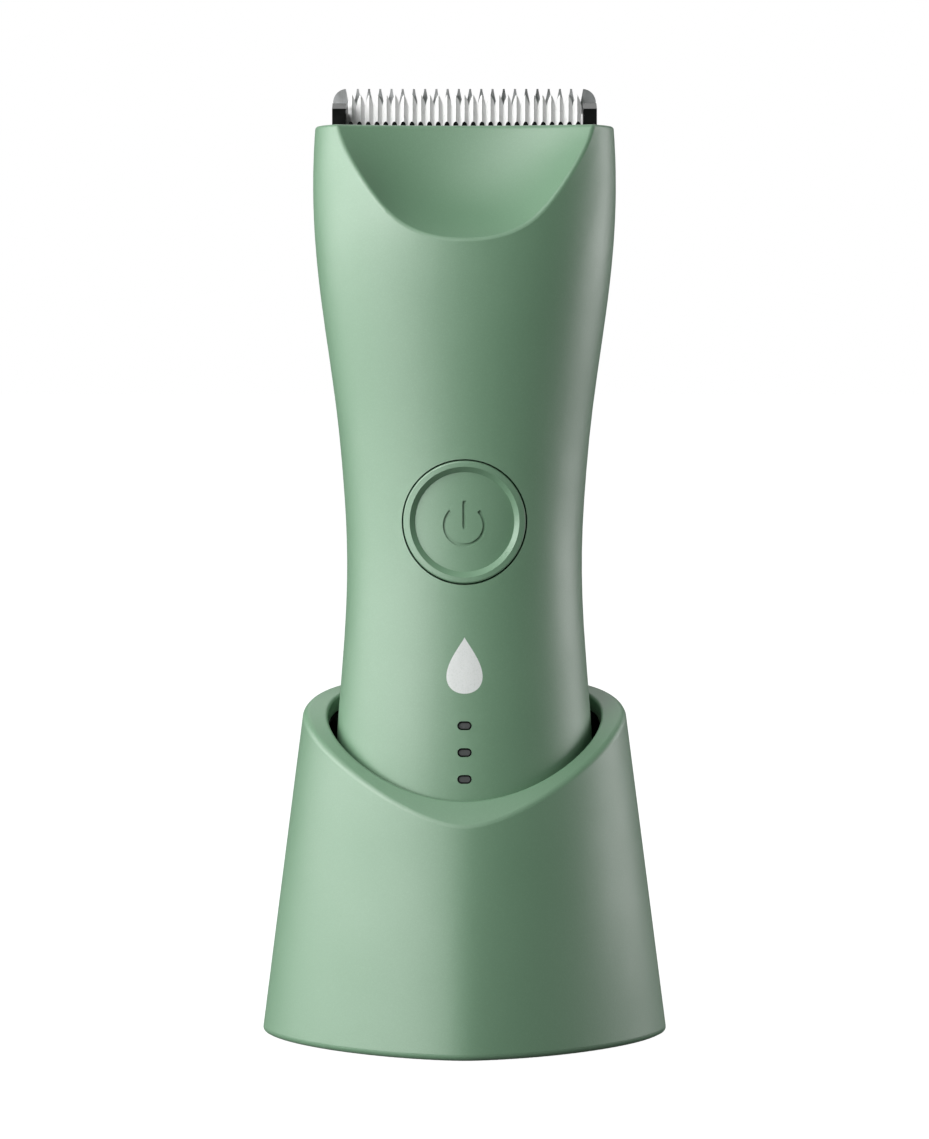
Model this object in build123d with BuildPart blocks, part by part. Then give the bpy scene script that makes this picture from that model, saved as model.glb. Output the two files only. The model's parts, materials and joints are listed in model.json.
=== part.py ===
from build123d import *
import math
import os

# Body groomer standing in its charging dock.
# Millimetres, +Z up, front faces -Y, origin at the bottom centre of the dock.
os.makedirs("parts", exist_ok=True)

# ---------------------------------------------------------------- dimensions
# Trimmer body: height, half width, front Y, back Y
BODY_ROWS = (
    (12.0, 18.3, -14.7, 13.2),
    (29.0, 19.2, -15.8, 14.3),
    (48.0, 18.85, -15.5, 14.1),
    (59.5, 17.95, -14.7, 13.5),
    (71.0, 17.5, -14.1, 13.0),
    (83.5, 18.05, -14.0, 12.7),
    (95.5, 19.25, -14.5, 12.8),
    (107.0, 20.85, -15.3, 13.1),
    (118.5, 22.1, -15.9, 13.4),
    (127.0, 22.4, -15.7, 13.3),
    (135.6, 22.05, -14.6, 12.9),
)
DECK_Z = 135.6
DECK_EDGE = 0.5
WALL = 1.8
PART_Y = 1.0
SEAM = 0.15

# Thumb scoop: height, depth behind the scoop axis, half width
SCOOP_ROWS = (
    (116.5, 1.2, 11.4),
    (120.9, 6.9, 13.9),
    (125.3, 11.1, 17.1),
    (129.2, 13.5, 20.8),
    (133.1, 14.9, 25.9),
    (138.0, 15.6, 34.5),
)
SCOOP_AXIS_Y = -20.0
SCOOP_EDGE = 0.7

# Flat facet across the upper back, flush with the cartridge
FACET_Y = 6.5
FACET_TILT = 14.0

# Cartridge pocket
POCKET_HALF = 20.05
POCKET_FRONT = -3.4
POCKET_WIDE_Y = 4.0
POCKET_FLOOR = 121.4
HINGE_Y = 7.9
HINGE_Z = 123.2
HINGE_PIN_R = 0.75

# Blades
STEEL_FRONT = 4.2
STEEL_THICK = 0.8
STEEL_TEETH = 20
STEEL_PITCH = 1.675
STEEL_TOP = 141.5
CERAMIC_FRONT = 3.0
CERAMIC_THICK = 1.17
CERAMIC_TEETH = 27
CERAMIC_PITCH = 1.29
CERAMIC_TOP = 140.6
CERAMIC_NOTCH = 138.9

# Drive
DRIVE_Y = 0.4
PIVOT_Z = 118.0
STUD_Z = 130.0
STUD_R = 1.1
CRANK_THROW = 0.5
SHAFT_R = 1.0
BORE_GAP = 0.03
MOTOR_BASE = 72.0
MOTOR_TOP = 102.0

# Button
BUTTON_Z = 77.7
BUTTON_HOLE_R = 9.17
BUTTON_R = 8.95
BUTTON_FLOOR_R = 7.28
BUTTON_BEVEL = 0.78
BUTTON_DISH = 0.85

# Lights
LIGHT_HEIGHTS = (48.1, 44.2, 40.3)
LENS_SIZE = (1.65, 0.85)
RIM_SIZE = (2.1, 1.3)

# Board behind the button and the lights
BOARD_FRONT = -8.6
BOARD_BACK = -7.4

# Dock
FOOT_POWER = 1.62
TOP_POWER = 1.86
DOCK_ROWS = (
    (0.3, 30.35, -24.0, 24.0, FOOT_POWER),
    (53.5, 23.5, -17.4, 18.8, TOP_POWER),
)
HOLLOW_FOOT = (-1.0, 30.37, -24.17, 24.13, FOOT_POWER)
DOCK_POINTS = 32
DOCK_WALL = 1.8
RIM_CENTRE_Y = 18.0
RIM_CENTRE_Z = 4.6
RIM_R = 47.83
RIM_THICK = 2.5
WELL_ROWS = (
    (10.0, 19.2, -15.6, 14.2),
    (54.0, 20.6, -16.7, 15.1),
)
WELL_FLOOR = 10.0
TUB_WALL = 1.2
CONTACT_X = 5.0
CONTACT_Y = -0.5
DOCK_SCREW_X = 25.0


# ------------------------------------------------------------- shared forms
def oval_solid(rows, inset):
    """Loft through level ovals, each pulled in by the inset."""
    with BuildPart() as form:
        for height, half_width, front, back in rows:
            with BuildSketch(Plane.XY.offset(height)):
                with Locations((0, (front + back) / 2)):
                    Ellipse(half_width - inset, (back - front) / 2 - inset)
        loft()
    return form.part


def scoop_solid(grow):
    """Bowl that hollows the upper front, each level grown outwards."""
    with BuildPart() as form:
        for height, depth, half_width in SCOOP_ROWS:
            with BuildSketch(Plane.XY.offset(height - 0.6 * grow)):
                with Locations((0, SCOOP_AXIS_Y)):
                    Ellipse(half_width + grow, depth + grow)
        with BuildSketch(Plane.XY.offset(SCOOP_ROWS[-1][0] + 4)):
            with Locations((0, SCOOP_AXIS_Y)):
                Ellipse(SCOOP_ROWS[-1][2] + 8 + grow, SCOOP_ROWS[-1][1] + 0.3 + grow)
        loft()
    return form.part


def facet_block(inset):
    """Everything behind the sloping facet, moved inwards by the inset."""
    with BuildPart() as form:
        with Locations(Location((0, FACET_Y - inset, DECK_Z), (FACET_TILT, 0, 0))):
            Box(70, 30, 90, align=(Align.CENTER, Align.MIN, Align.CENTER))
    return form.part


def dock_solid(rows, inset):
    """Loft through level outlines that are fuller than a diamond and slimmer than an oval."""
    with BuildPart() as form:
        for height, half_width, front, back, power in rows:
            half_depth = (back - front) / 2 - inset
            points = []
            for step in range(DOCK_POINTS):
                turn = math.tau * step / DOCK_POINTS
                across = math.copysign(abs(math.cos(turn)) ** (2 / power), math.cos(turn))
                along = math.copysign(abs(math.sin(turn)) ** (2 / power), math.sin(turn))
                points.append(((half_width - inset) * across, (front + back) / 2 + half_depth * along))
            with BuildSketch(Plane.XY.offset(height)):
                with BuildLine():
                    Spline(*points, periodic=True)
                make_face()
        loft()
    return form.part


def rim_cylinder(radius):
    """Cylinder across the dock whose top sets the curved rim."""
    with BuildPart() as form:
        with BuildSketch(Plane.YZ):
            with Locations((RIM_CENTRE_Y, RIM_CENTRE_Z)):
                Circle(radius)
        extrude(amount=45, both=True)
    return form.part


INNER_ROWS = BODY_ROWS[:-1] + ((DECK_Z - WALL, 22.5, -14.75, 13.0),)

# Whole trimmer body as one solid, with the facet across the upper back
with BuildPart() as outer_form:
    add(oval_solid(BODY_ROWS, 0))
    add(facet_block(0), mode=Mode.SUBTRACT)
    fillet(faces().sort_by(Axis.Z)[-1].edges(), radius=DECK_EDGE)

# The same with the scoop and its softened edge
with BuildPart() as body_form:
    add(outer_form.part)
    add(scoop_solid(0), mode=Mode.SUBTRACT)
    crease = edges(Select.LAST).filter_by(lambda e: e.bounding_box().min.Z < DECK_Z - 8)
    fillet(crease, radius=SCOOP_EDGE)

# Hollow inside the walls
with BuildPart() as inner_form:
    add(oval_solid(INNER_ROWS, WALL))
    add(facet_block(WALL), mode=Mode.SUBTRACT)
    add(scoop_solid(1.2), mode=Mode.SUBTRACT)

# Room left for parts that sit inside the hollow
with BuildPart() as fit_form:
    add(oval_solid(INNER_ROWS, WALL + 0.25))
    add(facet_block(WALL + 0.25), mode=Mode.SUBTRACT)
    add(scoop_solid(1.5), mode=Mode.SUBTRACT)


# ------------------------------------------------------------------ trimmer
with BuildPart() as front_housing:
    add(body_form.part)
    with Locations((0, PART_Y - SEAM, 70)):
        Box(80, 60, 200, align=(Align.CENTER, Align.MIN, Align.CENTER), mode=Mode.SUBTRACT)
    add(inner_form.part, mode=Mode.SUBTRACT)
    with Locations((0, POCKET_FRONT, POCKET_FLOOR)):
        Box(2 * POCKET_HALF, 30, 30, align=(Align.CENTER, Align.MIN, Align.MIN), mode=Mode.SUBTRACT)
    with BuildSketch(Plane.XZ):
        with Locations((0, BUTTON_Z)):
            Circle(BUTTON_HOLE_R)
        for light_z in LIGHT_HEIGHTS:
            with Locations((0, light_z)):
                SlotOverall(*RIM_SIZE)
    extrude(amount=30, mode=Mode.SUBTRACT)
front_housing.part.label = "front_housing"
export_step(front_housing.part, "parts/front_housing.step")

with BuildPart() as rear_housing:
    add(outer_form.part)
    with Locations((0, PART_Y + SEAM, 70)):
        Box(80, 60, 200, align=(Align.CENTER, Align.MAX, Align.CENTER), mode=Mode.SUBTRACT)
    add(inner_form.part, mode=Mode.SUBTRACT)
    with Locations((0, POCKET_FRONT, POCKET_FLOOR)):
        Box(2 * POCKET_HALF, 30, 30, align=(Align.CENTER, Align.MIN, Align.MIN), mode=Mode.SUBTRACT)
    with Locations((0, POCKET_WIDE_Y, POCKET_FLOOR)):
        Box(60, 30, 30, align=(Align.CENTER, Align.MIN, Align.MIN), mode=Mode.SUBTRACT)
rear_housing.part.label = "rear_housing"
export_step(rear_housing.part, "parts/rear_housing.step")

# Gasket in the parting line, set back a little from the outside
with BuildPart() as housing_seal:
    add(oval_solid(BODY_ROWS, 0.3))
    add(inner_form.part, mode=Mode.SUBTRACT)
    with Locations((0, PART_Y, 70)):
        Box(80, 2 * SEAM, 200, mode=Mode.INTERSECT)
    with Locations((0, 0, POCKET_FLOOR)):
        Box(2 * POCKET_HALF, 30, 30, align=(Align.CENTER, Align.CENTER, Align.MIN), mode=Mode.SUBTRACT)
housing_seal.part.label = "housing_seal"
export_step(housing_seal.part, "parts/housing_seal.step")

# End cap with a plug that holds the two halves together
CAP_BASE = 10.0
CAP_TOP = 12.0
SCREW_X = 12.0
SCREW_Y = -1.0
with BuildPart() as bottom_cap:
    add(oval_solid(((CAP_BASE, 17.6, -13.9, 12.4), (CAP_TOP, 18.4, -14.7, 13.2)), 0))
    fillet(faces().sort_by(Axis.Z)[0].edges(), radius=0.8)
    with BuildSketch(Plane.XY.offset(CAP_TOP)):
        with Locations((0, -0.75)):
            Ellipse(16.3, 11.9)
            Ellipse(14.6, 10.2, mode=Mode.SUBTRACT)
    extrude(amount=2.2)
    with Locations((0, 0, CAP_BASE)):
        with Locations((CONTACT_X, CONTACT_Y), (-CONTACT_X, CONTACT_Y)):
            Cylinder(2.05, 1.4, align=(Align.CENTER, Align.CENTER, Align.MIN), mode=Mode.SUBTRACT)
        with Locations((SCREW_X, SCREW_Y), (-SCREW_X, SCREW_Y)):
            Cylinder(2.2, 1.3, align=(Align.CENTER, Align.CENTER, Align.MIN), mode=Mode.SUBTRACT)
            Cylinder(1.15, 5, align=(Align.CENTER, Align.CENTER, Align.MIN), mode=Mode.SUBTRACT)
bottom_cap.part.label = "bottom_cap"
export_step(bottom_cap.part, "parts/bottom_cap.step")

with BuildPart() as contact_pads:
    with BuildSketch(Plane.XY.offset(CAP_BASE + 0.05)):
        with Locations((CONTACT_X, CONTACT_Y), (-CONTACT_X, CONTACT_Y)):
            Circle(2.0)
    extrude(amount=1.3)
contact_pads.part.label = "contact_pads"
export_step(contact_pads.part, "parts/contact_pads.step")

with BuildPart() as housing_screws:
    with BuildSketch(Plane.XY.offset(CAP_BASE + 0.2)):
        with Locations((SCREW_X, SCREW_Y), (-SCREW_X, SCREW_Y)):
            Circle(2.0)
            RegularPolygon(0.8, 6, mode=Mode.SUBTRACT)
    extrude(amount=0.6)
    with BuildSketch(Plane.XY.offset(CAP_BASE + 0.8)):
        with Locations((SCREW_X, SCREW_Y), (-SCREW_X, SCREW_Y)):
            Circle(2.0)
    extrude(amount=0.5)
    with BuildSketch(Plane.XY.offset(CAP_BASE + 1.3)):
        with Locations((SCREW_X, SCREW_Y), (-SCREW_X, SCREW_Y)):
            Circle(1.0)
    extrude(amount=10)
housing_screws.part.label = "housing_screws"
export_step(housing_screws.part, "parts/housing_screws.step")

# Power button: cap that follows the body, dished face, engraved sign
with BuildPart() as button_dish:
    with BuildSketch(Plane.XZ.offset(10)):
        with Locations((0, BUTTON_Z)):
            Circle(BUTTON_FLOOR_R)
    extrude(amount=6)
    add(oval_solid(BODY_ROWS, BUTTON_DISH), mode=Mode.SUBTRACT)

SIGN_R = 2.9
SIGN_LINE = 0.52
with BuildPart() as button_sign:
    with BuildSketch(Plane.XZ.offset(10)):
        with Locations((0, BUTTON_Z - 0.5)):
            Circle(SIGN_R + SIGN_LINE / 2)
            Circle(SIGN_R - SIGN_LINE / 2, mode=Mode.SUBTRACT)
        with Locations((0, BUTTON_Z - 0.5)):
            Polygon((0, 0), (6, 6), (-6, 6), align=None, mode=Mode.SUBTRACT)
        with Locations((0, BUTTON_Z + 1.05)):
            SlotOverall(4.1, SIGN_LINE + 0.1, rotation=90)
    extrude(amount=6)
    add(oval_solid(BODY_ROWS, BUTTON_DISH + 0.3), mode=Mode.SUBTRACT)

with BuildPart() as power_button:
    with BuildSketch(Plane.XZ.offset(11)):
        with Locations((0, BUTTON_Z)):
            Circle(BUTTON_R)
    extrude(amount=6)
    add(oval_solid(BODY_ROWS, 0), mode=Mode.INTERSECT)
    fillet(edges().filter_by(GeomType.LINE, reverse=True).sort_by(Axis.Y)[0], radius=0.25)
    add(button_dish.part, mode=Mode.SUBTRACT)
    dish_edge = edges(Select.LAST).filter_by(lambda e: e.length > 40).sort_by(Axis.Y)[0]
    chamfer(dish_edge, length=BUTTON_BEVEL)
    add(button_sign.part, mode=Mode.SUBTRACT)
    # hollow back, actuating stem and the two stop tabs
    with BuildSketch(Plane.XZ.offset(11)):
        with Locations((0, BUTTON_Z)):
            Circle(BUTTON_R - 2.2)
            Circle(1.6, mode=Mode.SUBTRACT)
    extrude(amount=0.5, mode=Mode.SUBTRACT)
    with BuildSketch(Plane.XZ.offset(11)):
        with Locations((0, BUTTON_Z + BUTTON_R), (0, BUTTON_Z - BUTTON_R)):
            Rectangle(5, 2.4)
    extrude(amount=0.7)
power_button.part.label = "power_button"
export_step(power_button.part, "parts/power_button.step")

with BuildPart() as switch_body:
    with BuildSketch(Plane.XZ.offset(-BOARD_FRONT)):
        with Locations((0, BUTTON_Z)):
            RectangleRounded(6, 6, 0.5)
    extrude(amount=1.6)
    with BuildSketch(Plane.XZ.offset(-BOARD_FRONT + 0.2)):
        with Locations((0, BUTTON_Z)):
            Circle(1.65)
    extrude(amount=2, mode=Mode.SUBTRACT)
switch_body.part.label = "switch_body"
export_step(switch_body.part, "parts/switch_body.step")

with BuildPart() as switch_plunger:
    with BuildSketch(Plane.XZ.offset(-BOARD_FRONT + 0.7)):
        with Locations((0, BUTTON_Z)):
            Circle(1.6)
    extrude(amount=1.68)
switch_plunger.part.label = "switch_plunger"
export_step(switch_plunger.part, "parts/switch_plunger.step")

# Charge lights
with BuildPart() as light_lenses:
    with BuildSketch(Plane.XZ.offset(-BOARD_FRONT)):
        for light_z in LIGHT_HEIGHTS:
            with Locations((0, light_z)):
                SlotOverall(*LENS_SIZE)
    extrude(amount=9)
    add(oval_solid(BODY_ROWS, 0.12), mode=Mode.INTERSECT)
light_lenses.part.label = "light_lenses"
export_step(light_lenses.part, "parts/light_lenses.step")

with BuildPart() as light_rims:
    with BuildSketch(Plane.XZ.offset(13.6)):
        for light_z in LIGHT_HEIGHTS:
            with Locations((0, light_z)):
                SlotOverall(*RIM_SIZE)
                SlotOverall(*LENS_SIZE, mode=Mode.SUBTRACT)
    extrude(amount=3)
    add(oval_solid(BODY_ROWS, 0.03), mode=Mode.INTERSECT)
light_rims.part.label = "light_rims"
export_step(light_rims.part, "parts/light_rims.step")

with BuildPart() as circuit_board:
    with BuildSketch(Plane.XZ.offset(-BOARD_BACK)):
        with Locations((0, 60)):
            RectangleRounded(22.4, 62, 1.5)
    extrude(amount=BOARD_BACK - BOARD_FRONT)
circuit_board.part.label = "circuit_board"
export_step(circuit_board.part, "parts/circuit_board.step")

# Cell and its connecting strips
CELL_Y = 2.6
CELL_BASE = 17.5
CELL_TOP = 66.5
with BuildPart() as battery_cell:
    with BuildSketch(Plane.XY.offset(CELL_BASE)):
        with Locations((0, CELL_Y)):
            Circle(7.1)
    extrude(amount=CELL_TOP - CELL_BASE)
    fillet(edges().filter_by(GeomType.CIRCLE), radius=0.6)
battery_cell.part.label = "battery_cell"
export_step(battery_cell.part, "parts/battery_cell.step")

with BuildPart() as battery_tabs:
    with BuildSketch(Plane.YZ):
        with BuildLine():
            Polyline((CELL_Y + 2, CELL_BASE - 0.15), (-7.2, CELL_BASE - 0.15), (-7.2, 34))
        trace(line_width=0.3)
        with BuildLine():
            Polyline((CELL_Y + 2, CELL_TOP + 0.15), (-7.2, CELL_TOP + 0.15), (-7.2, 60))
        trace(line_width=0.3)
    extrude(amount=2.5, both=True)
battery_tabs.part.label = "battery_tabs"
export_step(battery_tabs.part, "parts/battery_tabs.step")

# Chassis: two rails, four decks and the ears that carry the cartridge pin
DIAPHRAGM_BASE = 116.4
DIAPHRAGM_TOP = 119.6
EAR_X = 14.0
with BuildPart() as chassis:
    for deck_base, deck_top in ((14.6, 17.0), (67.2, 69.6), (102.1, 104.0), (DIAPHRAGM_BASE, DIAPHRAGM_TOP)):
        with BuildSketch(Plane.XY.offset(deck_base)):
            Rectangle(50, 40)
        extrude(amount=deck_top - deck_base)
    for side in (-1, 1):
        with Locations((side * 11.6, -1.7, 65.5)):
            Box(2.0, 11.2, 101.8)
        with BuildSketch(Plane.XY.offset(14.6)):
            with Locations((side * SCREW_X, SCREW_Y)):
                Circle(2.4)
        extrude(amount=8)
    add(fit_form.part, mode=Mode.INTERSECT)
    for side in (-1, 1):
        with BuildSketch(Plane.YZ.offset(side * EAR_X)):
            with BuildLine():
                Line((5.6, DIAPHRAGM_TOP), (7.0, DIAPHRAGM_TOP))
                Line((7.0, DIAPHRAGM_TOP), (7.0, HINGE_Z - 1.5))
                Line((7.0, HINGE_Z - 1.5), (HINGE_Y + 1.2, HINGE_Z - 0.6))
                ThreePointArc(
                    (HINGE_Y + 1.2, HINGE_Z - 0.6),
                    (HINGE_Y, HINGE_Z + 1.3),
                    (HINGE_Y - 1.3, HINGE_Z - 0.4),
                )
                Line((HINGE_Y - 1.3, HINGE_Z - 0.4), (5.6, DIAPHRAGM_TOP))
            make_face()
            with Locations((HINGE_Y, HINGE_Z)):
                Circle(HINGE_PIN_R + 0.05, mode=Mode.SUBTRACT)
        extrude(amount=1.0, both=True)
    # front lip under the board, motor bush hole, screw bores
    with Locations((0, BOARD_BACK, 60)):
        Box(60, 20, 62.4, align=(Align.CENTER, Align.MAX, Align.CENTER), mode=Mode.SUBTRACT)
    with BuildSketch(Plane.XY.offset(100)):
        with Locations((0, DRIVE_Y)):
            Circle(3.05)
    extrude(amount=6, mode=Mode.SUBTRACT)
    with BuildSketch(Plane.XY.offset(14)):
        with Locations((SCREW_X, SCREW_Y), (-SCREW_X, SCREW_Y)):
            Circle(1.05)
    extrude(amount=12, mode=Mode.SUBTRACT)
    # room for the cell strips
    with Locations((0, -4, 68)):
        Box(6, 9, 4, mode=Mode.SUBTRACT)
    # window and cross hole for the drive lever
    with Locations((0, DRIVE_Y, PIVOT_Z)):
        Box(7.0, 4.6, 10, mode=Mode.SUBTRACT)
    with BuildSketch(Plane.XZ.offset(-6.0)):
        with Locations((0, PIVOT_Z)):
            Circle(0.8)
    extrude(amount=10, mode=Mode.SUBTRACT)
chassis.part.label = "chassis"
export_step(chassis.part, "parts/chassis.step")

# Motor
MOTOR_R = 10.0
MOTOR_FLAT = 7.4
with BuildPart() as motor_can:
    with BuildSketch(Plane.XY.offset(MOTOR_BASE)):
        with Locations((0, DRIVE_Y)):
            Circle(MOTOR_R)
            Rectangle(2 * MOTOR_R + 2, 2 * MOTOR_FLAT, mode=Mode.INTERSECT)
    extrude(amount=MOTOR_TOP - MOTOR_BASE)
    fillet(faces().sort_by(Axis.Z)[-1].edges(), radius=0.8)
    with BuildSketch(Plane.XY.offset(MOTOR_BASE)):
        with Locations((0, DRIVE_Y)):
            Circle(SHAFT_R + BORE_GAP)
    extrude(amount=40, mode=Mode.SUBTRACT)
motor_can.part.label = "motor_can"
export_step(motor_can.part, "parts/motor_can.step")

with BuildPart() as motor_end_cap:
    with BuildSketch(Plane.XY.offset(MOTOR_BASE - 2)):
        with Locations((0, DRIVE_Y)):
            Circle(MOTOR_R - 0.6)
            Rectangle(2 * MOTOR_R + 2, 2 * MOTOR_FLAT - 1.2, mode=Mode.INTERSECT)
    extrude(amount=2)
    with BuildSketch(Plane.XY.offset(MOTOR_BASE - 1.2)):
        with Locations((0, DRIVE_Y)):
            Circle(SHAFT_R + BORE_GAP)
    extrude(amount=3, mode=Mode.SUBTRACT)
motor_end_cap.part.label = "motor_end_cap"
export_step(motor_end_cap.part, "parts/motor_end_cap.step")

with BuildPart() as motor_bush:
    with BuildSketch(Plane.XY.offset(MOTOR_TOP)):
        with Locations((0, DRIVE_Y)):
            Circle(3.0)
            Circle(SHAFT_R + BORE_GAP, mode=Mode.SUBTRACT)
    extrude(amount=1.9)
motor_bush.part.label = "motor_bush"
export_step(motor_bush.part, "parts/motor_bush.step")

HUB_BASE = 104.4
HUB_TOP = 108.4
CRANK_TOP = 112.2
with BuildPart() as motor_shaft:
    with BuildSketch(Plane.XY.offset(MOTOR_BASE - 1.1)):
        with Locations((0, DRIVE_Y)):
            Circle(SHAFT_R)
    extrude(amount=HUB_TOP - 0.4 - MOTOR_BASE + 1.1)
motor_shaft.part.label = "motor_shaft"
export_step(motor_shaft.part, "parts/motor_shaft.step")

with BuildPart() as eccentric:
    with BuildSketch(Plane.XY.offset(HUB_BASE)):
        with Locations((0, DRIVE_Y)):
            Circle(3.5)
    extrude(amount=HUB_TOP - HUB_BASE)
    with BuildSketch(Plane.XY.offset(HUB_TOP)):
        with Locations((CRANK_THROW, DRIVE_Y)):
            Circle(0.75)
    extrude(amount=CRANK_TOP - HUB_TOP)
    with BuildSketch(Plane.XY.offset(HUB_BASE)):
        with Locations((0, DRIVE_Y)):
            Circle(SHAFT_R)
    extrude(amount=HUB_TOP - 0.4 - HUB_BASE, mode=Mode.SUBTRACT)
eccentric.part.label = "eccentric"
export_step(eccentric.part, "parts/eccentric.step")

# Lever that turns the crank motion into the side-to-side stroke
HUB_HALF = 2.0
with BuildPart() as drive_lever:
    with BuildSketch(Plane.XZ.offset(-DRIVE_Y - HUB_HALF)):
        with Locations((0, PIVOT_Z)):
            Circle(2.4)
        with Locations((0, 114.3)):
            Rectangle(6.2, 2.6)
        with Locations((2.5, 111.2), (-2.5, 111.2)):
            Rectangle(1.2, 4.6)
        with Locations((0, 115.4)):
            Rectangle(3.6, 3)
    extrude(amount=2 * HUB_HALF)
    with BuildSketch(Plane.XY.offset(PIVOT_Z + 1)):
        with Locations((0, DRIVE_Y)):
            Circle(1.0)
    extrude(amount=4)
    with BuildSketch(Plane.XY.offset(PIVOT_Z + 5)):
        with Locations((0, DRIVE_Y)):
            Circle(0.75)
    extrude(amount=STUD_Z - PIVOT_Z - 5)
    with Locations((0, DRIVE_Y, STUD_Z)):
        Sphere(STUD_R)
    with BuildSketch(Plane.XZ.offset(-DRIVE_Y - HUB_HALF - 1)):
        with Locations((0, PIVOT_Z)):
            Circle(0.85)
    extrude(amount=2 * HUB_HALF + 2, mode=Mode.SUBTRACT)
drive_lever.part.label = "drive_lever"
export_step(drive_lever.part, "parts/drive_lever.step")

with BuildPart() as lever_pin:
    with BuildSketch(Plane.XZ.offset(-5.2)):
        with Locations((0, PIVOT_Z)):
            Circle(0.8)
    extrude(amount=9)
lever_pin.part.label = "lever_pin"
export_step(lever_pin.part, "parts/lever_pin.step")

with BuildPart() as lever_seal:
    with BuildSketch(Plane.XY.offset(DIAPHRAGM_TOP)):
        with Locations((0, DRIVE_Y)):
            RectangleRounded(11, 8.4, 1.5)
            RectangleRounded(8, 5.4, 0.8, mode=Mode.SUBTRACT)
    extrude(amount=1.1)
    with BuildSketch(Plane.XY.offset(DIAPHRAGM_TOP + 1.1)):
        with Locations((0, DRIVE_Y)):
            RectangleRounded(11, 8.4, 1.5)
            Circle(1.6, mode=Mode.SUBTRACT)
    extrude(amount=0.6)
lever_seal.part.label = "lever_seal"
export_step(lever_seal.part, "parts/lever_seal.step")


# ---------------------------------------------------------------- cartridge
CART_HALF = 19.75
CART_FRONT = -3.1
CART_BASE = 121.9
CART_WALL = 1.5
BRIDGE_Z = 133.3
BLOCK_INNER = 17.55
BLOCK_OUTER = 19.6
BACK_FRONT = STEEL_FRONT + STEEL_THICK
HINGE_ROUND = 1.3
SLOT_HALF = 1.4
facet_slope = math.tan(math.radians(FACET_TILT))
tail_y = HINGE_Y + HINGE_ROUND
tail_z = DECK_Z - (tail_y - FACET_Y) / facet_slope

with BuildPart() as blade_carrier:
    # front box
    with Locations((0, CART_FRONT, CART_BASE)):
        Box(
            2 * CART_HALF,
            CERAMIC_FRONT - 0.1 - CART_FRONT,
            DECK_Z - CART_BASE,
            align=(Align.CENTER, Align.MIN, Align.MIN),
        )
    with Locations((0, CART_FRONT + CART_WALL, CART_BASE + 1.3)):
        Box(
            35.6,
            10,
            BRIDGE_Z - CART_BASE - 1.3,
            align=(Align.CENTER, Align.MIN, Align.MIN),
            mode=Mode.SUBTRACT,
        )
    # back block behind the steel plate, rounded about the hinge
    with BuildSketch(Plane.YZ):
        with BuildLine():
            Line((BACK_FRONT, CART_BASE), (HINGE_Y, CART_BASE))
            ThreePointArc(
                (HINGE_Y, CART_BASE),
                (HINGE_Y + HINGE_ROUND * math.sin(math.pi / 4), HINGE_Z - HINGE_ROUND * math.cos(math.pi / 4)),
                (tail_y, HINGE_Z),
            )
            Line((tail_y, HINGE_Z), (tail_y, tail_z))
            Line((tail_y, tail_z), (FACET_Y, DECK_Z))
            Line((FACET_Y, DECK_Z), (BACK_FRONT, DECK_Z))
            Line((BACK_FRONT, DECK_Z), (BACK_FRONT, CART_BASE))
        make_face()
    extrude(amount=30, both=True)
    # wings outside the ends of the steel plate
    for side in (-1, 1):
        with Locations((side * CART_HALF, POCKET_WIDE_Y + 0.3, CART_BASE)):
            Box(
                4,
                BACK_FRONT - POCKET_WIDE_Y - 0.3,
                DECK_Z - CART_BASE,
                align=(Align.MIN if side > 0 else Align.MAX, Align.MIN, Align.MIN),
            )
    # floor that joins the front box to the back block
    with Locations((0, 2, CART_BASE)):
        Box(2 * CART_HALF, 5, 1.3, align=(Align.CENTER, Align.MIN, Align.MIN))
    add(outer_form.part, mode=Mode.INTERSECT)
    # opening for the drive stud
    with Locations((0, CART_FRONT - 1, CART_BASE - 1)):
        Box(5.2, 6.4, 10.9, align=(Align.CENTER, Align.MIN, Align.MIN), mode=Mode.SUBTRACT)
    # end blocks with a sloping top
    with BuildSketch(Plane.YZ):
        Polygon((-0.5, 135.0), (2.7, 135.0), (2.7, 139.2), (1.5, 139.2), (-0.5, 138.3), align=None)
    extrude(amount=BLOCK_OUTER, both=True)
    with Locations((0, 1.1, DECK_Z)):
        Box(2 * BLOCK_INNER, 6, 8, align=(Align.CENTER, Align.CENTER, Align.MIN), mode=Mode.SUBTRACT)
    # row of domes on the front edge, one before each ceramic tooth
    with BuildSketch(Plane.XZ.offset(-CART_FRONT - 1.3)):
        with GridLocations(CERAMIC_PITCH, 1, CERAMIC_TEETH, 1):
            with Locations((0, DECK_Z)):
                Ellipse(0.39, 0.66)
    extrude(amount=1.2)
    # slots for the ears, pin bore, screw bores
    with Locations((EAR_X, BACK_FRONT - 1, CART_BASE - 1), (-EAR_X, BACK_FRONT - 1, CART_BASE - 1)):
        Box(2 * SLOT_HALF, 8, 4.2, align=(Align.CENTER, Align.MIN, Align.MIN), mode=Mode.SUBTRACT)
    with BuildSketch(Plane.YZ):
        with Locations((HINGE_Y, HINGE_Z)):
            Circle(HINGE_PIN_R)
    extrude(amount=16.5, both=True, mode=Mode.SUBTRACT)
    with BuildSketch(Plane.XZ.offset(-BACK_FRONT)):
        with Locations((11, 128.2), (-11, 128.2)):
            Circle(0.9)
    extrude(amount=-2.6, mode=Mode.SUBTRACT)
    # grip grooves on the back
    for groove_z in (129.0, 130.6, 132.2):
        with Locations((0, FACET_Y + (DECK_Z - groove_z) * facet_slope, groove_z)):
            Box(14, 0.9, 0.7, mode=Mode.SUBTRACT)
blade_carrier.part.label = "blade_carrier"
export_step(blade_carrier.part, "parts/blade_carrier.step")

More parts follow.
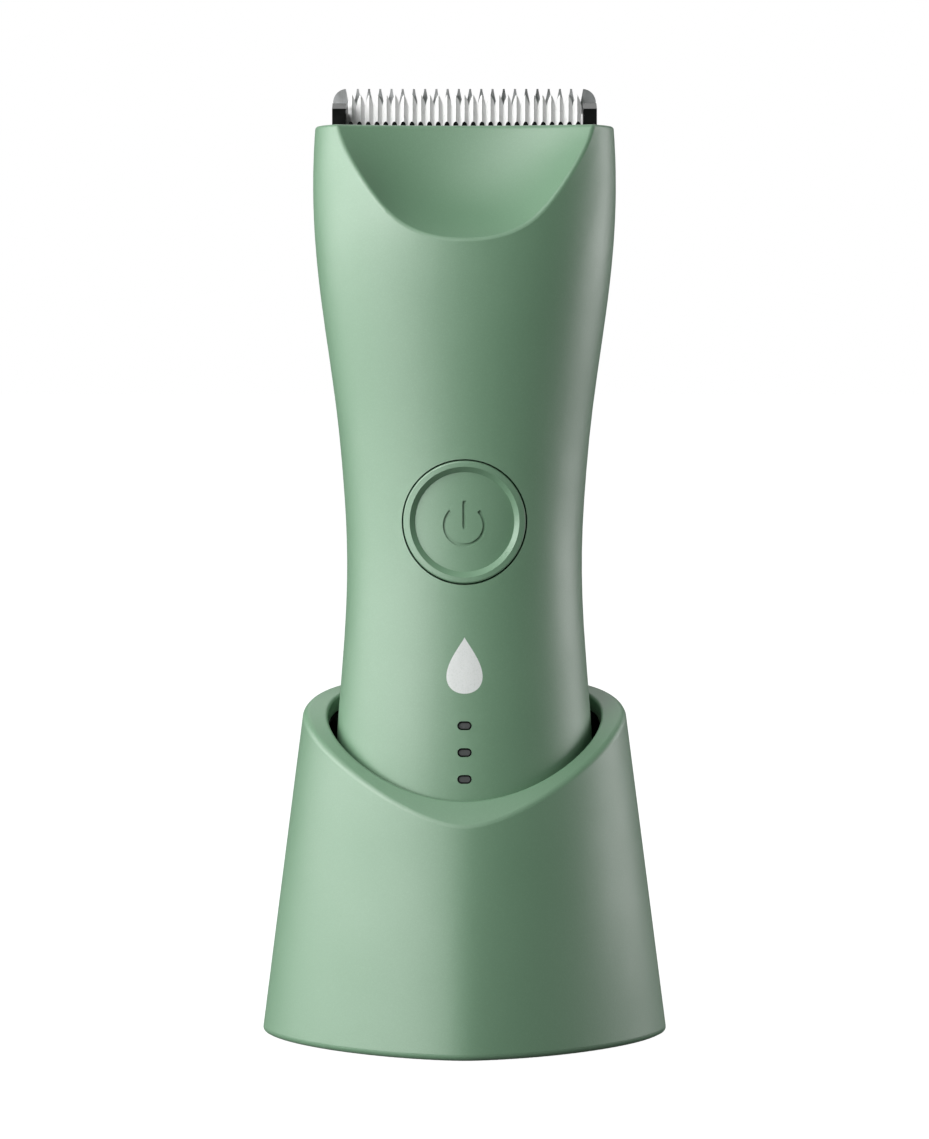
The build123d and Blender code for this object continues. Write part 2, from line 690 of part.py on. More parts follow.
# Steel comb plate with pointed teeth and two end lugs
ROOT_Z = 136.6
SHOULDER_Z = 139.6
PLATE_BASE = 126.0
with BuildPart() as fixed_blade:
    with BuildSketch(Plane.XZ.offset(-BACK_FRONT)):
        with Locations((0, (PLATE_BASE + ROOT_Z) / 2)):
            Rectangle(2 * BLOCK_OUTER, ROOT_Z - PLATE_BASE)
        with GridLocations(STEEL_PITCH, 1, STEEL_TEETH, 1):
            Polygon(
                (-0.6, ROOT_Z - 0.2),
                (0.6, ROOT_Z - 0.2),
                (0.5, SHOULDER_Z),
                (0.17, STEEL_TOP - 0.3),
                (0.15, STEEL_TOP),
                (-0.15, STEEL_TOP),
                (-0.17, STEEL_TOP - 0.3),
                (-0.5, SHOULDER_Z),
                align=None,
            )
        for side in (-1, 1):
            with BuildLine():
                Line((side * 17.35, ROOT_Z - 0.2), (side * 17.35, SHOULDER_Z))
                Line((side * 17.35, SHOULDER_Z), (side * 17.7, STEEL_TOP))
                ThreePointArc(
                    (side * 17.7, STEEL_TOP),
                    (side * 18.95, 140.95),
                    (side * BLOCK_OUTER, 139.6),
                )
                Line((side * BLOCK_OUTER, 139.6), (side * BLOCK_OUTER, ROOT_Z - 0.2))
                Line((side * BLOCK_OUTER, ROOT_Z - 0.2), (side * 17.35, ROOT_Z - 0.2))
            make_face()
        with Locations((11, 128.2), (-11, 128.2)):
            Circle(1.0, mode=Mode.SUBTRACT)
    extrude(amount=STEEL_THICK)
    # ground relief on the back of the tips
    with BuildSketch(Plane.YZ):
        Polygon(
            (BACK_FRONT + 0.01, 138.4),
            (BACK_FRONT + 0.01, STEEL_TOP + 0.1),
            (BACK_FRONT - 0.45, STEEL_TOP + 0.1),
            align=None,
        )
    extrude(amount=25, both=True, mode=Mode.SUBTRACT)
    with BuildSketch(Plane.XZ.offset(-STEEL_FRONT)):
        with Locations((11, 128.2), (-11, 128.2)):
            Circle(1.85)
    extrude(amount=-0.4, mode=Mode.SUBTRACT)
fixed_blade.part.label = "fixed_blade"
export_step(fixed_blade.part, "parts/fixed_blade.step")

with BuildPart() as blade_screws:
    with BuildSketch(Plane.XZ.offset(-STEEL_FRONT)):
        with Locations((11, 128.2), (-11, 128.2)):
            Circle(1.8)
            Rectangle(2.0, 0.4, mode=Mode.SUBTRACT)
    extrude(amount=-0.2)
    with BuildSketch(Plane.XZ.offset(-STEEL_FRONT - 0.2)):
        with Locations((11, 128.2), (-11, 128.2)):
            Circle(1.8)
    extrude(amount=-0.2)
    with BuildSketch(Plane.XZ.offset(-STEEL_FRONT - 0.4)):
        with Locations((11, 128.2), (-11, 128.2)):
            Circle(0.9)
    extrude(amount=-2.9)
blade_screws.part.label = "blade_screws"
export_step(blade_screws.part, "parts/blade_screws.step")

# Ceramic comb plate: arched tips, each tooth folded to a ridge at the front
tooth_half = CERAMIC_PITCH / 2
row_half = CERAMIC_TEETH * tooth_half
with BuildPart() as moving_blade:
    with BuildSketch(Plane.XZ.offset(-CERAMIC_FRONT - CERAMIC_THICK)):
        with BuildLine():
            for index in range(CERAMIC_TEETH):
                middle = (index - (CERAMIC_TEETH - 1) / 2) * CERAMIC_PITCH
                ThreePointArc(
                    (middle - tooth_half, CERAMIC_NOTCH),
                    (middle - 0.4, CERAMIC_NOTCH + 0.95),
                    (middle, CERAMIC_TOP),
                )
                ThreePointArc(
                    (middle, CERAMIC_TOP),
                    (middle + 0.4, CERAMIC_NOTCH + 0.95),
                    (middle + tooth_half, CERAMIC_NOTCH),
                )
            Polyline(
                (row_half, CERAMIC_NOTCH),
                (row_half, 137.8),
                (18.3, 137.4),
                (18.3, 126.0),
                (-18.3, 126.0),
                (-18.3, 137.4),
                (-row_half, 137.8),
                (-row_half, CERAMIC_NOTCH),
            )
        make_face()
    extrude(amount=CERAMIC_THICK)
    with BuildSketch(Plane.XY.offset(134.6)):
        with Locations((0, CERAMIC_FRONT)):
            with GridLocations(CERAMIC_PITCH, 1, CERAMIC_TEETH + 1, 1):
                Polygon((-tooth_half, -0.02), (tooth_half, -0.02), (0.06, 0.55), (-0.06, 0.55), align=None)
    extrude(amount=8, mode=Mode.SUBTRACT)
moving_blade.part.label = "moving_blade"
export_step(moving_blade.part, "parts/moving_blade.step")

FORK_HALF_GAP = STUD_R + 0.05
with BuildPart() as blade_follower:
    with Locations((0, 2.0, 126.4)):
        Box(10.5, 1.0, 6.2, align=(Align.CENTER, Align.MIN, Align.MIN))
    for side in (-1, 1):
        with Locations((side * FORK_HALF_GAP, -0.7, 128.4)):
            Box(
                1.7,
                2.7,
                3.4,
                align=(Align.MIN if side > 0 else Align.MAX, Align.MIN, Align.MIN),
            )
blade_follower.part.label = "blade_follower"
export_step(blade_follower.part, "parts/blade_follower.step")

with BuildPart() as blade_spring:
    with BuildSketch(Plane.XY.offset(127.2)):
        with BuildLine():
            Polyline((-16.4, 2.8), (-14.6, 2.8), (-9.5, -1.4), (-4.2, -1.4))
        trace(line_width=0.3)
        with BuildLine():
            Polyline((16.4, 2.8), (14.6, 2.8), (9.5, -1.4), (4.2, -1.4))
        trace(line_width=0.3)
    extrude(amount=2.4)
    # strip that joins the two arms over the stud opening
    with Locations((0, -1.4, 132.4)):
        Box(9.0, 0.3, 1.0)
    with Locations((4.35, -1.4, 130.2), (-4.35, -1.4, 130.2)):
        Box(0.9, 0.3, 5.4)
blade_spring.part.label = "blade_spring"
export_step(blade_spring.part, "parts/blade_spring.step")

with BuildPart() as cartridge_pin:
    with BuildSketch(Plane.YZ.offset(-16.4)):
        with Locations((HINGE_Y, HINGE_Z)):
            Circle(HINGE_PIN_R)
    extrude(amount=32.8)
cartridge_pin.part.label = "cartridge_pin"
export_step(cartridge_pin.part, "parts/cartridge_pin.step")


# --------------------------------------------------------------------- dock
USB_Z = 6.3
USB_MOUTH_Y = 23.0
BOSS_R = 2.8
TUB_ROWS = ((WELL_FLOOR - 1.4, 19.15, -15.57, 14.17), WELL_ROWS[1])
with BuildPart() as dock_form:
    add(dock_solid(DOCK_ROWS, 0))
    add(rim_cylinder(RIM_R), mode=Mode.INTERSECT)
    top_edge = edges(Select.LAST).filter_by(lambda e: e.bounding_box().max.Z > 30)
    fillet(top_edge, radius=1.1)
    fillet(faces().sort_by(Axis.Z)[0].edges(), radius=0.9)
with BuildPart() as dock_hollow:
    add(dock_solid((HOLLOW_FOOT, DOCK_ROWS[1]), DOCK_WALL))
    add(oval_solid(TUB_ROWS, -TUB_WALL - 0.1))
    add(rim_cylinder(RIM_R - RIM_THICK), mode=Mode.INTERSECT)
with BuildPart() as dock_shell:
    add(dock_form.part)
    add(dock_hollow.part, mode=Mode.SUBTRACT)
    for side in (-1, 1):
        with BuildSketch(Plane.XY.offset(2.6)):
            with Locations((side * DOCK_SCREW_X, 0)):
                Circle(BOSS_R)
            with Locations((side * (DOCK_SCREW_X + 1.6), 0)):
                Rectangle(3.2, 2.4)
        extrude(amount=10)
    add(oval_solid(WELL_ROWS, 0), mode=Mode.SUBTRACT)
    inner_edge = edges(Select.LAST).filter_by(lambda e: e.bounding_box().max.Z > 47).sort_by(SortBy.LENGTH)
    fillet(inner_edge.filter_by(lambda e: e.bounding_box().max.Z > 49.5), radius=0.5)
    with BuildSketch(Plane.XY.offset(2)):
        with Locations((DOCK_SCREW_X, 0), (-DOCK_SCREW_X, 0)):
            Circle(1.05)
    extrude(amount=8, mode=Mode.SUBTRACT)
    with BuildSketch(Plane.XZ.offset(-19)):
        with Locations((0, USB_Z)):
            SlotOverall(9.6, 3.8)
    extrude(amount=-8, mode=Mode.SUBTRACT)
dock_shell.part.label = "dock_shell"
export_step(dock_shell.part, "parts/dock_shell.step")

with BuildPart() as dock_tub:
    add(oval_solid(TUB_ROWS, -TUB_WALL))
    add(oval_solid(WELL_ROWS, 0), mode=Mode.SUBTRACT)
    add(rim_cylinder(RIM_R - RIM_THICK - 0.05), mode=Mode.INTERSECT)
    with BuildSketch(Plane.XY.offset(5)):
        with Locations((CONTACT_X, CONTACT_Y), (-CONTACT_X, CONTACT_Y)):
            Circle(1.4)
    extrude(amount=8, mode=Mode.SUBTRACT)
dock_tub.part.label = "dock_tub"
export_step(dock_tub.part, "parts/dock_tub.step")

FOOT_R = 3.9
FOOT_SPOTS = ((15, -8.5), (-15, -8.5), (15, 8.5), (-15, 8.5))
BASE_ROWS = (
    (0.8, 30.1, -23.9, 23.9, FOOT_POWER),
    (2.4, 29.9, -23.7, 23.75, FOOT_POWER),
)
with BuildPart() as dock_base_plate:
    add(dock_solid(BASE_ROWS, DOCK_WALL + 0.15))
    with BuildSketch(Plane.XY.offset(0.8)):
        with Locations(*FOOT_SPOTS):
            Circle(FOOT_R + 0.1)
        with Locations((DOCK_SCREW_X, 0), (-DOCK_SCREW_X, 0)):
            Circle(2.5)
    extrude(amount=0.6, mode=Mode.SUBTRACT)
    with BuildSketch(Plane.XY.offset(0.8)):
        with Locations((DOCK_SCREW_X, 0), (-DOCK_SCREW_X, 0)):
            Circle(1.15)
    extrude(amount=3, mode=Mode.SUBTRACT)
    # board posts
    with BuildSketch(Plane.XY.offset(2.4)):
        with Locations((9, 2), (-9, 2), (9, 16), (-9, 16)):
            Circle(1.5)
    extrude(amount=1.2)
dock_base_plate.part.label = "dock_base_plate"
export_step(dock_base_plate.part, "parts/dock_base_plate.step")

with BuildPart() as dock_feet:
    with BuildSketch(Plane.XY):
        with Locations(*FOOT_SPOTS):
            Circle(FOOT_R)
    extrude(amount=1.4)
    fillet(edges().group_by(Axis.Z)[0], radius=0.3)
dock_feet.part.label = "dock_feet"
export_step(dock_feet.part, "parts/dock_feet.step")

with BuildPart() as ballast_plate:
    with BuildSketch(Plane.XY.offset(2.4)):
        Ellipse(21.0, 19.0)
        with Locations((0, 12.5)):
            Rectangle(29, 30, mode=Mode.SUBTRACT)
    extrude(amount=3)
ballast_plate.part.label = "ballast_plate"
export_step(ballast_plate.part, "parts/ballast_plate.step")

BOARD_Z = 3.6
with BuildPart() as dock_circuit_board:
    with BuildSketch(Plane.XY.offset(BOARD_Z)):
        with Locations((0, 9.0)):
            RectangleRounded(22, 18.8, 1)
    extrude(amount=1.0)
dock_circuit_board.part.label = "dock_circuit_board"
export_step(dock_circuit_board.part, "parts/dock_circuit_board.step")

# USB-C inlet
USB_WIDTH = 8.94
USB_HEIGHT = 3.26
USB_DEPTH = 7.3
with BuildPart() as usb_socket:
    with BuildSketch(Plane.XZ.offset(-USB_MOUTH_Y)):
        with Locations((0, USB_Z)):
            SlotOverall(USB_WIDTH, USB_HEIGHT)
    extrude(amount=USB_DEPTH)
    with BuildSketch(Plane.XZ.offset(-USB_MOUTH_Y)):
        with Locations((0, USB_Z)):
            SlotOverall(USB_WIDTH - 0.6, USB_HEIGHT - 0.6)
    extrude(amount=USB_DEPTH - 0.4, mode=Mode.SUBTRACT)
usb_socket.part.label = "usb_socket"
export_step(usb_socket.part, "parts/usb_socket.step")

with BuildPart() as usb_tongue:
    with BuildSketch(Plane.XZ.offset(-USB_MOUTH_Y + USB_DEPTH - 0.4)):
        with Locations((0, USB_Z)):
            SlotOverall(USB_WIDTH - 0.7, USB_HEIGHT - 0.7)
    extrude(amount=-1.6)
    with BuildSketch(Plane.XZ.offset(-USB_MOUTH_Y + USB_DEPTH - 2.0)):
        with Locations((0, USB_Z)):
            Rectangle(6.69, 0.7)
    extrude(amount=-4.4)
usb_tongue.part.label = "usb_tongue"
export_step(usb_tongue.part, "parts/usb_tongue.step")

# Spring contacts
with BuildPart() as pogo_barrels:
    with BuildSketch(Plane.XY.offset(BOARD_Z + 1)):
        with Locations((CONTACT_X, CONTACT_Y), (-CONTACT_X, CONTACT_Y)):
            Circle(1.3)
    extrude(amount=4.8)
    with BuildSketch(Plane.XY.offset(BOARD_Z + 1.4)):
        with Locations((CONTACT_X, CONTACT_Y), (-CONTACT_X, CONTACT_Y)):
            Circle(0.8)
    extrude(amount=8, mode=Mode.SUBTRACT)
pogo_barrels.part.label = "pogo_barrels"
export_step(pogo_barrels.part, "parts/pogo_barrels.step")

with BuildPart() as pogo_pin_right:
    with BuildSketch(Plane.XY.offset(BOARD_Z + 2.6)):
        with Locations((CONTACT_X, CONTACT_Y)):
            Circle(0.75)
    extrude(amount=WELL_FLOOR - BOARD_Z - 2.6)
    fillet(edges().group_by(Axis.Z)[-1], radius=0.4)
pogo_pin_right.part.label = "pogo_pin_right"
export_step(pogo_pin_right.part, "parts/pogo_pin_right.step")

with BuildPart() as pogo_pin_left:
    with BuildSketch(Plane.XY.offset(BOARD_Z + 2.6)):
        with Locations((-CONTACT_X, CONTACT_Y)):
            Circle(0.75)
    extrude(amount=WELL_FLOOR - BOARD_Z - 2.6)
    fillet(edges().group_by(Axis.Z)[-1], radius=0.4)
pogo_pin_left.part.label = "pogo_pin_left"
export_step(pogo_pin_left.part, "parts/pogo_pin_left.step")

with BuildPart() as dock_screws:
    with BuildSketch(Plane.XY.offset(0.9)):
        with Locations((DOCK_SCREW_X, 0), (-DOCK_SCREW_X, 0)):
            Circle(2.3)
            RegularPolygon(0.9, 6, mode=Mode.SUBTRACT)
    extrude(amount=0.3)
    with BuildSketch(Plane.XY.offset(1.2)):
        with Locations((DOCK_SCREW_X, 0), (-DOCK_SCREW_X, 0)):
            Circle(2.3)
    extrude(amount=0.2)
    with BuildSketch(Plane.XY.offset(1.4)):
        with Locations((DOCK_SCREW_X, 0), (-DOCK_SCREW_X, 0)):
            Circle(1.0)
    extrude(amount=7.5)
dock_screws.part.label = "dock_screws"
export_step(dock_screws.part, "parts/dock_screws.step")
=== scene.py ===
import json
import math

import bmesh
import bpy
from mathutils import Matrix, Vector
from mathutils.bvhtree import BVHTree


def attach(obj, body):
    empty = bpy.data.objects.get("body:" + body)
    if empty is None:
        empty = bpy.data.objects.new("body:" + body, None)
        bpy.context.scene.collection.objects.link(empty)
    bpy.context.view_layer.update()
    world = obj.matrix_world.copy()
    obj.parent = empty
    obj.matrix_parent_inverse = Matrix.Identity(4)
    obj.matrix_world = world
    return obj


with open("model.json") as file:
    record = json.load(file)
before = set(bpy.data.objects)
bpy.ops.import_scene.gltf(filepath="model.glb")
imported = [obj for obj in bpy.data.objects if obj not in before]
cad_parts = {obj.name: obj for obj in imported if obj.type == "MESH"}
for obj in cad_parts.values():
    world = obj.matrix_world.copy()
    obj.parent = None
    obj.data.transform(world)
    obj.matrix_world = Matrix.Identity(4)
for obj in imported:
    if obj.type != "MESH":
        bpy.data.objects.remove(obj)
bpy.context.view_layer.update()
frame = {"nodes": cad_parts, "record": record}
nodes = frame["nodes"]
MM = 0.001
MICRON = 0.000001


# ------------------------------------------------------------ material tools
class Shader:
    """A Principled material with helpers for procedural detail.

    Noise scales are in cells per metre, so a higher one is finer.
    """

    def __init__(self, name, color, roughness=0.5, metallic=0.0, **sockets):
        self.material = bpy.data.materials.new(name)
        self.material.use_nodes = True
        self.tree = self.material.node_tree
        self.bsdf = self.tree.nodes["Principled BSDF"]
        self.put("Base Color", (*color, 1.0))
        self.put("Roughness", roughness)
        self.put("Metallic", metallic)
        for socket, value in sockets.items():
            self.put(socket.replace("_", " "), value)
        self.color = color
        self.place = self.node("ShaderNodeTexCoord").outputs["Object"]
        self.bump_out = None

    def node(self, kind, **settings):
        made = self.tree.nodes.new(kind)
        for key, value in settings.items():
            setattr(made, key, value)
        return made

    def put(self, socket, value):
        self.bsdf.inputs[socket].default_value = value

    def link(self, a, b):
        self.tree.links.new(a, b)

    def stretched(self, scale):
        mapping = self.node("ShaderNodeMapping")
        mapping.inputs["Scale"].default_value = scale
        self.link(self.place, mapping.inputs["Vector"])
        return mapping.outputs["Vector"]

    def noise(self, scale, detail=2.0, stretch=None):
        made = self.node("ShaderNodeTexNoise")
        made.inputs["Scale"].default_value = scale
        made.inputs["Detail"].default_value = detail
        self.link(self.stretched(stretch) if stretch else self.place, made.inputs["Vector"])
        return made.outputs["Fac"]

    def ramp(self, value, low, high, a, b):
        made = self.node("ShaderNodeMapRange")
        made.inputs["From Min"].default_value = low
        made.inputs["From Max"].default_value = high
        made.inputs["To Min"].default_value = a
        made.inputs["To Max"].default_value = b
        self.link(value, made.inputs["Value"])
        return made.outputs["Result"]

    def tint(self, value, other, low, high, strength):
        """Varies the base colour towards another one where the value is high."""
        mix = self.node("ShaderNodeMix", data_type="RGBA")
        mix.inputs["A"].default_value = (*self.color, 1.0)
        mix.inputs["B"].default_value = (*other, 1.0)
        self.link(self.ramp(value, low, high, 0.0, strength), mix.inputs["Factor"])
        old = self.bsdf.inputs["Base Color"].links
        if old:
            self.link(old[0].from_socket, mix.inputs["A"])
        self.link(mix.outputs["Result"], self.bsdf.inputs["Base Color"])

    def vary_roughness(self, value, smooth, rough):
        self.link(self.ramp(value, 0.3, 0.7, smooth, rough), self.bsdf.inputs["Roughness"])

    def bump(self, height, distance, strength=1.0):
        """Adds a bump on top of those before it."""
        made = self.node("ShaderNodeBump")
        made.inputs["Distance"].default_value = distance
        made.inputs["Strength"].default_value = strength
        self.link(height, made.inputs["Height"])
        if self.bump_out is not None:
            self.link(self.bump_out, made.inputs["Normal"])
        self.bump_out = made.outputs["Normal"]
        self.link(self.bump_out, self.bsdf.inputs["Normal"])

    def edge_wear(self, other, strength):
        """Rubbed colour where the surface is sharply convex, broken up by fine grit."""
        point = self.node("ShaderNodeNewGeometry").outputs["Pointiness"]
        convex_from, convex_full, grit_scale = 0.52, 0.6, 900.0
        grit = self.ramp(self.noise(grit_scale, 3.0), 0.35, 0.65, 0.3, 1.0)
        both = self.node("ShaderNodeMath", operation="MULTIPLY")
        self.link(self.ramp(point, convex_from, convex_full, 0.0, 1.0), both.inputs[0])
        self.link(grit, both.inputs[1])
        self.tint(both.outputs["Value"], other, 0.0, 1.0, strength)


def lightened(color, gain, lift):
    return tuple(min(1.0, c * gain + lift) for c in color)


def darkened(color, gain):
    return tuple(c * gain for c in color)


def soft_plastic(name, color):
    """Soft-touch painted plastic: fine pebble grain, faint mottling, rubbed edges."""
    roughness, grain = 0.5, 11 * MICRON
    mottle, patch, swell, pebble, speck = 35.0, 60.0, 1500.0, 4200.0, 5200.0
    made = Shader(
        name, color, roughness, Specular_IOR_Level=1.0, Coat_Weight=0.9, Coat_Roughness=0.5
    )
    lighter = lightened(color, 1.12, 0.01)
    made.tint(made.noise(mottle, 3.0), darkened(color, 0.93), 0.4, 0.75, 0.55)
    made.tint(made.noise(speck), lighter, 0.45, 0.75, 0.5)
    made.edge_wear(lighter, 0.35)
    made.vary_roughness(made.noise(patch, 4.0), roughness - 0.05, roughness + 0.06)
    made.bump(made.noise(pebble), grain)
    made.bump(made.noise(swell), grain * 0.8, 0.6)
    return made


def moulded(name, color, roughness=0.4, grain=6 * MICRON, spec=0.5):
    """Plain injection-moulded plastic with a fine spark-eroded texture."""
    mottle, patch, spark = 260.0, 420.0, 3600.0
    made = Shader(name, color, roughness, Specular_IOR_Level=spec)
    lighter = lightened(color, 1.25, 0.006)
    made.tint(made.noise(mottle, 4.0), lighter, 0.45, 0.75, 0.5)
    made.edge_wear(lighter, 0.5)
    made.vary_roughness(made.noise(patch, 3.0), roughness - 0.06, roughness + 0.08)
    made.bump(made.noise(spark), grain)
    return made


LINES_UP = (1.0, 1.0, 0.02)
LINES_UP_SHORT = (1.0, 1.0, 0.05)
LINES_DEEP = (1.0, 0.05, 1.0)
LINES_DEEP_SHORT = (1.0, 0.1, 1.0)
NO_LINES = (1.0, 1.0, 1.0)


def brushed(name, color, roughness, stretch=LINES_UP, scale=9000.0, depth=4 * MICRON):
    """Ground or drawn metal with fine lines along one axis."""
    stain, patch = 220.0, 300.0
    made = Shader(name, color, roughness, 1.0)
    darker = darkened(color, 0.78)
    lines = made.noise(scale, 2.0, stretch)
    made.tint(lines, darker, 0.35, 0.7, 0.6)
    made.tint(made.noise(stain, 3.0), darker, 0.5, 0.8, 0.5)
    made.vary_roughness(made.noise(patch, 3.0), roughness - 0.07, roughness + 0.1)
    made.bump(lines, depth)
    return made


def worn_steel(name, color, roughness, rubbed):
    made = brushed(name, color, roughness)
    made.edge_wear(rubbed, 0.5)
    return made


def ceramic(name, color, shade):
    """Pressed and fired ceramic: faint clouds, a satin surface and a very fine grain."""
    cloud, patch, fired = 700.0, 900.0, 7000.0
    made = Shader(name, color, 0.3, Specular_IOR_Level=0.6)
    made.tint(made.noise(cloud, 4.0), shade, 0.4, 0.7, 0.5)
    made.vary_roughness(made.noise(patch, 3.0), 0.24, 0.38)
    made.bump(made.noise(fired), 3 * MICRON)
    return made


def print_ink(name, color, shade):
    """Light ink that lies in the grain of the plastic."""
    speck, pebble = 5200.0, 4200.0
    made = Shader(name, color, 0.5, Specular_IOR_Level=0.35)
    made.tint(made.noise(speck), shade, 0.5, 0.75, 0.7)
    made.bump(made.noise(pebble), 8 * MICRON)
    return made


# Each maker with the colour and the finish of its material slot.
FINISHES = (
    (soft_plastic, "sage_plastic", (0.14, 0.275, 0.163)),
    (moulded, "black_plastic", (0.003, 0.0034, 0.0033), 0.16, 2 * MICRON),
    (ceramic, "ceramic_white", (0.86, 0.86, 0.855), (0.78, 0.78, 0.77)),
    (worn_steel, "blade_steel", (0.5, 0.51, 0.515), 0.34, (0.75, 0.76, 0.77)),
    (brushed, "spring_steel", (0.58, 0.59, 0.6), 0.22),
    (brushed, "screw_steel", (0.55, 0.55, 0.56), 0.28, LINES_DEEP),
    (brushed, "motor_steel", (0.6, 0.6, 0.59), 0.3, LINES_UP_SHORT),
    (brushed, "contact_gold", (0.86, 0.62, 0.25), 0.2, NO_LINES, 6000.0, 1 * MICRON),
    (brushed, "bronze_bush", (0.48, 0.3, 0.15), 0.45, NO_LINES, 5000.0, 6 * MICRON),
    (brushed, "ballast_iron", (0.32, 0.32, 0.31), 0.5, LINES_DEEP_SHORT, 1500.0, 10 * MICRON),
    (moulded, "gasket_rubber", (0.012, 0.012, 0.012), 0.78, 10 * MICRON, 0.3),
    (moulded, "foot_rubber", (0.028, 0.028, 0.028), 0.82, 14 * MICRON, 0.3),
    (moulded, "lens_grey", (0.075, 0.078, 0.078), 0.24, 2 * MICRON),
    (moulded, "board_green", (0.012, 0.09, 0.04), 0.3, 4 * MICRON),
    (moulded, "cell_wrap", (0.04, 0.13, 0.34), 0.22, 2 * MICRON),
    (moulded, "white_plastic", (0.72, 0.72, 0.69), 0.4),
    (moulded, "grey_plastic", (0.06, 0.063, 0.063), 0.5, 9 * MICRON),
)
finish = {name: maker(name, *look) for maker, name, *look in FINISHES}

slot_of = {entry["node"]: entry["material_slot"] for entry in frame["record"]["subparts"]}
for name, obj in nodes.items():
    obj.data.materials.clear()
    obj.data.materials.append(finish[slot_of[name]].material)


# --------------------------------------------------------------- printed drop
MARK_Z = 56.85 * MM
MARK_WIDTH = 6.2 * MM
MARK_HEIGHT = 8.2 * MM
BOWL_DROP = 0.9 * MM  # the rings spread from a point this far below MARK_Z
INK_LIFT = 0.012 * MM  # ink stands this far off the plastic
OUTLINE_POINTS = 96
RINGS = 10
housing_surface = BVHTree.FromObject(
    nodes["front_housing"], bpy.context.evaluated_depsgraph_get()
)


def on_front(x, z):
    """Point of the inked surface in front of the given place."""
    ahead = Vector((x, -50 * MM, z))
    backwards = Vector((0, 1, 0))
    return housing_surface.ray_cast(ahead, backwards)[0] - backwards * INK_LIFT


def drop_outline(count, width, height):
    """Plain water drop: a round bowl drawn up to a point."""
    sharpness, widening = 1.3, 1.17
    points = []
    for i in range(count):
        t = 2 * math.pi * i / count
        x = width / 2 * math.sin(t) * math.sin(t / 2) ** sharpness * widening
        points.append((x, height / 2 * math.cos(t)))
    return points


mark = bpy.data.meshes.new("printed_drop")
sheet = bmesh.new()
outline = drop_outline(OUTLINE_POINTS, MARK_WIDTH, MARK_HEIGHT)
rings = []
for ring in range(1, RINGS + 1):
    k = ring / RINGS
    rings.append([
        sheet.verts.new(on_front(x * k, MARK_Z + (z + BOWL_DROP) * k - BOWL_DROP))
        for x, z in outline
    ])
middle = sheet.verts.new(on_front(0, MARK_Z - BOWL_DROP))
for i in range(OUTLINE_POINTS):
    j = (i + 1) % OUTLINE_POINTS
    sheet.faces.new((middle, rings[0][i], rings[0][j]))
    for inner, outer in zip(rings, rings[1:]):
        sheet.faces.new((inner[i], outer[i], outer[j], inner[j]))
bmesh.ops.recalc_face_normals(sheet, faces=sheet.faces)
if sum(face.normal.y for face in sheet.faces) > 0:
    bmesh.ops.reverse_faces(sheet, faces=sheet.faces)
for face in sheet.faces:
    face.smooth = True
sheet.to_mesh(mark)
sheet.free()
ink = print_ink("print_ink", (0.74, 0.76, 0.75), (0.62, 0.66, 0.63))
mark.materials.append(ink.material)
mark_object = bpy.data.objects.new("printed_drop", mark)
bpy.context.scene.collection.objects.link(mark_object)
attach(mark_object, "trimmer")


# ----------------------------------------------------------------- the studio
WHITE = (1, 1, 1, 1)
FLOOR_GREY = (0.15, 0.15, 0.15, 1)
FLOOR_HALF = 6.0
DIM_GREEN = (0.8, 1, 0.86, 1)
DIM_STRENGTH = 0.08


def shader_node(tree, kind, color, strength=None):
    made = tree.nodes.new(kind)
    made.inputs["Color"].default_value = color
    if strength is not None:
        made.inputs["Strength"].default_value = strength
    return made


def show_to_camera(tree, output_kind, lighting, seen):
    """The camera sees one surface, while the other one is what lights the object."""
    switch = tree.nodes.new("ShaderNodeMixShader")
    ray = tree.nodes.new("ShaderNodeLightPath")
    output = tree.nodes.new(output_kind)
    tree.links.new(ray.outputs["Is Camera Ray"], switch.inputs[0])
    tree.links.new(lighting.outputs[0], switch.inputs[1])
    tree.links.new(seen.outputs[0], switch.inputs[2])
    tree.links.new(switch.outputs[0], output.inputs[0])


floor_mesh = bpy.data.meshes.new("floor")
floor_mesh.from_pydata(
    [
        (-FLOOR_HALF, -FLOOR_HALF, 0),
        (FLOOR_HALF, -FLOOR_HALF, 0),
        (FLOOR_HALF, FLOOR_HALF, 0),
        (-FLOOR_HALF, FLOOR_HALF, 0),
    ],
    [],
    [(0, 1, 2, 3)],
)
floor = bpy.data.objects.new("floor", floor_mesh)
bpy.context.scene.collection.objects.link(floor)
paper = bpy.data.materials.new("floor_paper")
paper.use_nodes = True
paper_tree = paper.node_tree
paper_tree.nodes.clear()
glow = shader_node(paper_tree, "ShaderNodeEmission", WHITE, 1.0)
matt = shader_node(paper_tree, "ShaderNodeBsdfDiffuse", FLOOR_GREY)
both = paper_tree.nodes.new("ShaderNodeAddShader")
paper_tree.links.new(glow.outputs[0], both.inputs[0])
paper_tree.links.new(matt.outputs[0], both.inputs[1])
show_to_camera(paper_tree, "ShaderNodeOutputMaterial", matt, both)
floor_mesh.materials.append(paper)

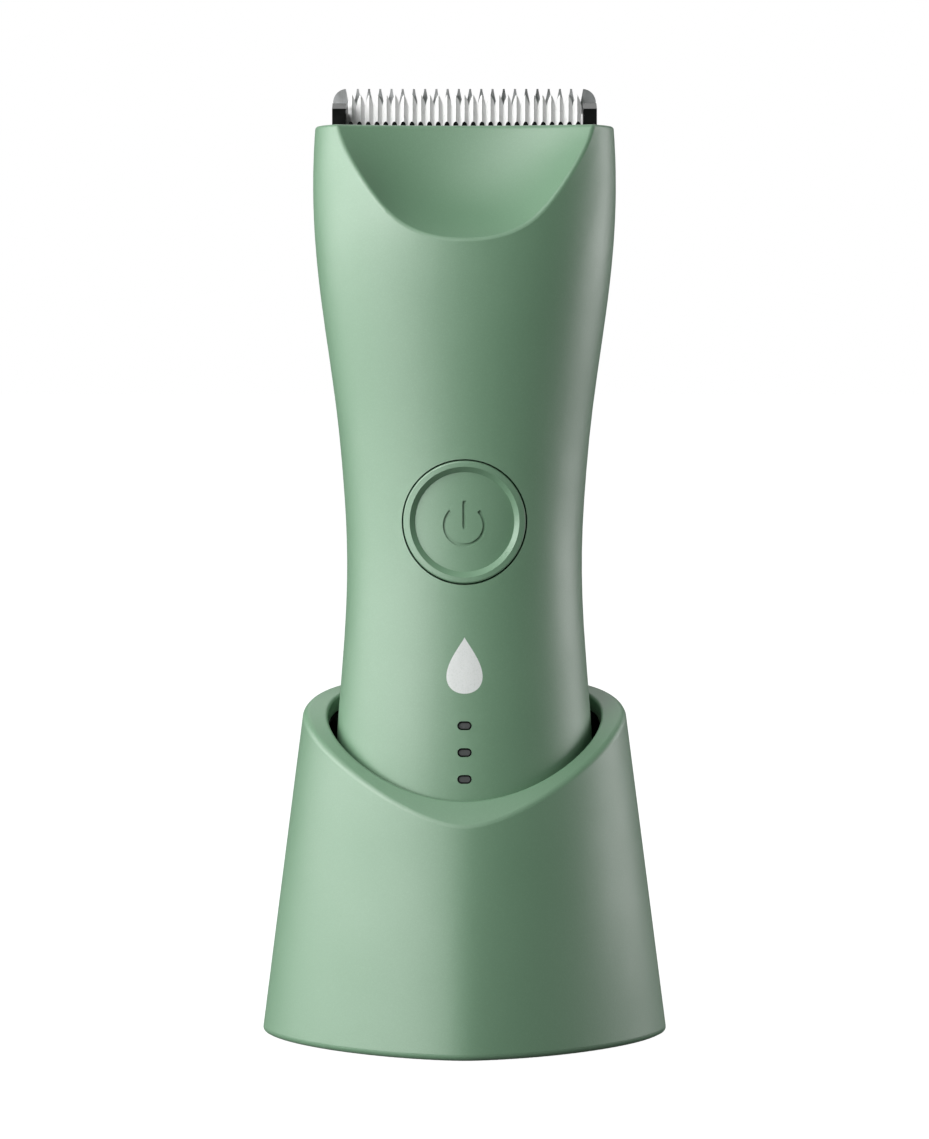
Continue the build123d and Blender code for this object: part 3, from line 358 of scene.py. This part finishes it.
world = bpy.data.worlds.new("studio")
world.use_nodes = True
bpy.context.scene.world = world
world.node_tree.nodes.clear()
show_to_camera(
    world.node_tree,
    "ShaderNodeOutputWorld",
    shader_node(world.node_tree, "ShaderNodeBackground", DIM_GREEN, DIM_STRENGTH),
    shader_node(world.node_tree, "ShaderNodeBackground", WHITE, 1.0),
)


def soft_box(name, azimuth, elevation, distance, width, height, power, aim_height):
    """Area light at a bearing from the front (negative is left) that faces the object."""
    light = bpy.data.lights.new(name, "AREA")
    light.shape = "RECTANGLE"
    light.size = width
    light.size_y = height
    light.energy = power
    made = bpy.data.objects.new(name, light)
    a, e = math.radians(azimuth), math.radians(elevation)
    target = Vector((0, 0, aim_height))
    made.location = target + distance * Vector(
        (math.sin(a) * math.cos(e), -math.cos(a) * math.cos(e), math.sin(e))
    )
    made.rotation_euler = (target - made.location).to_track_quat("-Z", "Y").to_euler()
    made.visible_camera = False
    bpy.context.scene.collection.objects.link(made)


# Name, bearing and elevation in degrees, distance, width and height in metres, power in
# watts, and the height aimed at in metres.
LIGHTS = (
    ("key", -60, 7, 0.9, 1.25, 1.0, 16.5, 0.08),
    ("left_edge", -102, 5, 0.9, 0.3, 0.9, 2.8, 0.08),
    ("fill", -32, 24, 0.35, 0.16, 0.2, 0.42, 0.1),
    ("rim", 113, 6, 0.8, 0.2, 0.8, 2.8, 0.08),
    ("low_side", 93, 0, 0.5, 0.16, 0.08, 0.33, 0.05),
    ("top", -25, 58, 0.9, 0.5, 0.4, 1.2, 0.08),
    ("back_top", 180, 48, 0.9, 0.8, 0.5, 1.6, 0.08),
)
for light_row in LIGHTS:
    soft_box(*light_row)

bpy.context.scene.view_settings.view_transform = "Standard"

CAMERA_DISTANCE = 0.565
CAMERA_HEIGHT = 0.105
CAMERA_PITCH = 3.552  # degrees below level
camera = bpy.data.objects.new("camera", bpy.data.cameras.new("camera"))
camera.data.sensor_width = 36.0
camera.data.lens = 119.88
camera.location = (0, -CAMERA_DISTANCE, CAMERA_HEIGHT)
camera.rotation_euler = (math.radians(90 - CAMERA_PITCH), 0, 0)
camera.data.clip_start = 0.01
camera.data.clip_end = 50
bpy.context.scene.collection.objects.link(camera)
bpy.context.scene.camera = camera
